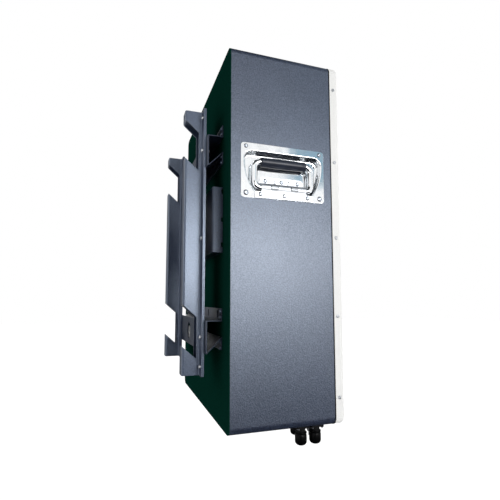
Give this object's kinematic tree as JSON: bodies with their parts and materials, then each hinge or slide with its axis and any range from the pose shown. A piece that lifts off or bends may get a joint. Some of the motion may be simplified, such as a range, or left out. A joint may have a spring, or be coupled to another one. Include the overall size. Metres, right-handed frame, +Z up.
{
  "type": "wall battery box",
  "caption": "Tall sheet-metal battery box with a white front cover, chrome recessed side handles, sockets underneath and notched hook rails on its back for hanging on a wall.",
  "frame": {"origin": "on the wall plane, in the middle of the four hook notches: midway between the two rails and midway between the upper and lower notches", "axes": "+Y out of the rails' rear faces into the wall, +Z up, +X to the right of someone who stands in front of the box"},
  "size_m": [0.478, 0.293, 0.739],
  "materials": {
    "case_paint": "dark blue-grey powder coat with a fine grain",
    "back_paint": "black powder coat with a green cast",
    "cover_paint": "satin white powder coat",
    "bracket_paint": "black satin powder coat",
    "shelf_paint": "grey primer coat",
    "handle_chrome": "bright chrome plate",
    "rivet_steel": "bright rivet heads",
    "spring_steel": "drawn spring wire",
    "screw_zinc": "bright zinc plate",
    "strap_steel": "plain steel band",
    "button_steel": "turned stainless steel",
    "grip_rubber": "moulded black rubber",
    "seal_rubber": "black foam rubber",
    "cap_rubber": "soft black rubber",
    "socket_plastic": "black moulded plastic",
    "fuse_plastic": "brown moulded plastic",
    "insulation_board": "pale laminate sheet",
    "cell_film": "blue heat-shrink film",
    "window_gloss": "smoked acrylic",
    "circuit_board": "green solder mask",
    "stud_zinc": "bright nickel plate",
    "busbar_copper": "bare copper bar",
    "plate_aluminium": "mill finish"
  },
  "bodies": {
    "box": {"case_wrap": "case_paint", "back_panel": "back_paint", "front_cover": "cover_paint", "cover_seal": "seal_rubber", "cover_screws": "screw_zinc", "display_window": "window_gloss", "display_board": "circuit_board", "handle_dish_left": "handle_chrome", "handle_dish_right": "handle_chrome", "handle_hinge_left": "handle_chrome", "handle_hinge_right": "handle_chrome", "handle_springs_left": "spring_steel", "handle_springs_right": "spring_steel", "handle_rivets": "rivet_steel", "hook_rail_left": "bracket_paint", "hook_rail_right": "bracket_paint", "mounting_strip_left": "bracket_paint", "mounting_strip_right": "bracket_paint", "upper_cross_member": "bracket_paint", "lower_cross_member": "bracket_paint", "back_tray": "bracket_paint", "strip_bolts": "screw_zinc", "strip_nuts": "screw_zinc", "member_screws": "screw_zinc", "socket_positive": "socket_plastic", "socket_negative": "socket_plastic", "socket_signal": "socket_plastic", "socket_caps": "cap_rubber", "socket_screws": "screw_zinc", "earth_stud": "stud_zinc", "earth_nuts": "screw_zinc", "button_body": "button_steel", "button_nut": "button_steel", "cell_shelf": "shelf_paint", "cell_pads": "seal_rubber", "cell_stack_left": "cell_film", "cell_stack_right": "cell_film", "cell_separators": "insulation_board", "end_plates": "plate_aluminium", "cell_straps": "strap_steel", "busbars": "busbar_copper", "back_insulation": "insulation_board", "heat_plate": "plate_aluminium", "protection_board": "circuit_board", "board_spacers": "stud_zinc", "main_fuse": "fuse_plastic"},
    "handle_left": {"handle_bail_left": "handle_chrome", "handle_grip_left": "grip_rubber"},
    "handle_right": {"handle_bail_right": "handle_chrome", "handle_grip_right": "grip_rubber"},
    "power_button": {"button_plunger": "button_steel"}
  },
  "joints": [
    {"name": "handle_left_swing", "type": "hinge", "parent": "box", "child": "handle_left", "pos_m": [-0.2295, -0.172, 0.071], "axis": [0, -1, 0], "range_deg": [0, 90], "stiffness_Nm_per_rad": 0.5, "springref_deg": -17.19},
    {"name": "handle_right_swing", "type": "hinge", "parent": "box", "child": "handle_right", "pos_m": [0.2295, -0.172, 0.071], "axis": [0, 1, 0], "range_deg": [0, 90], "stiffness_Nm_per_rad": 0.5, "springref_deg": -17.19},
    {"name": "power_button_press", "type": "slide", "parent": "box", "child": "power_button", "axis": [0, 0, 1], "range_m": [0, 0.002], "stiffness_N_per_m": 800}
  ]
}
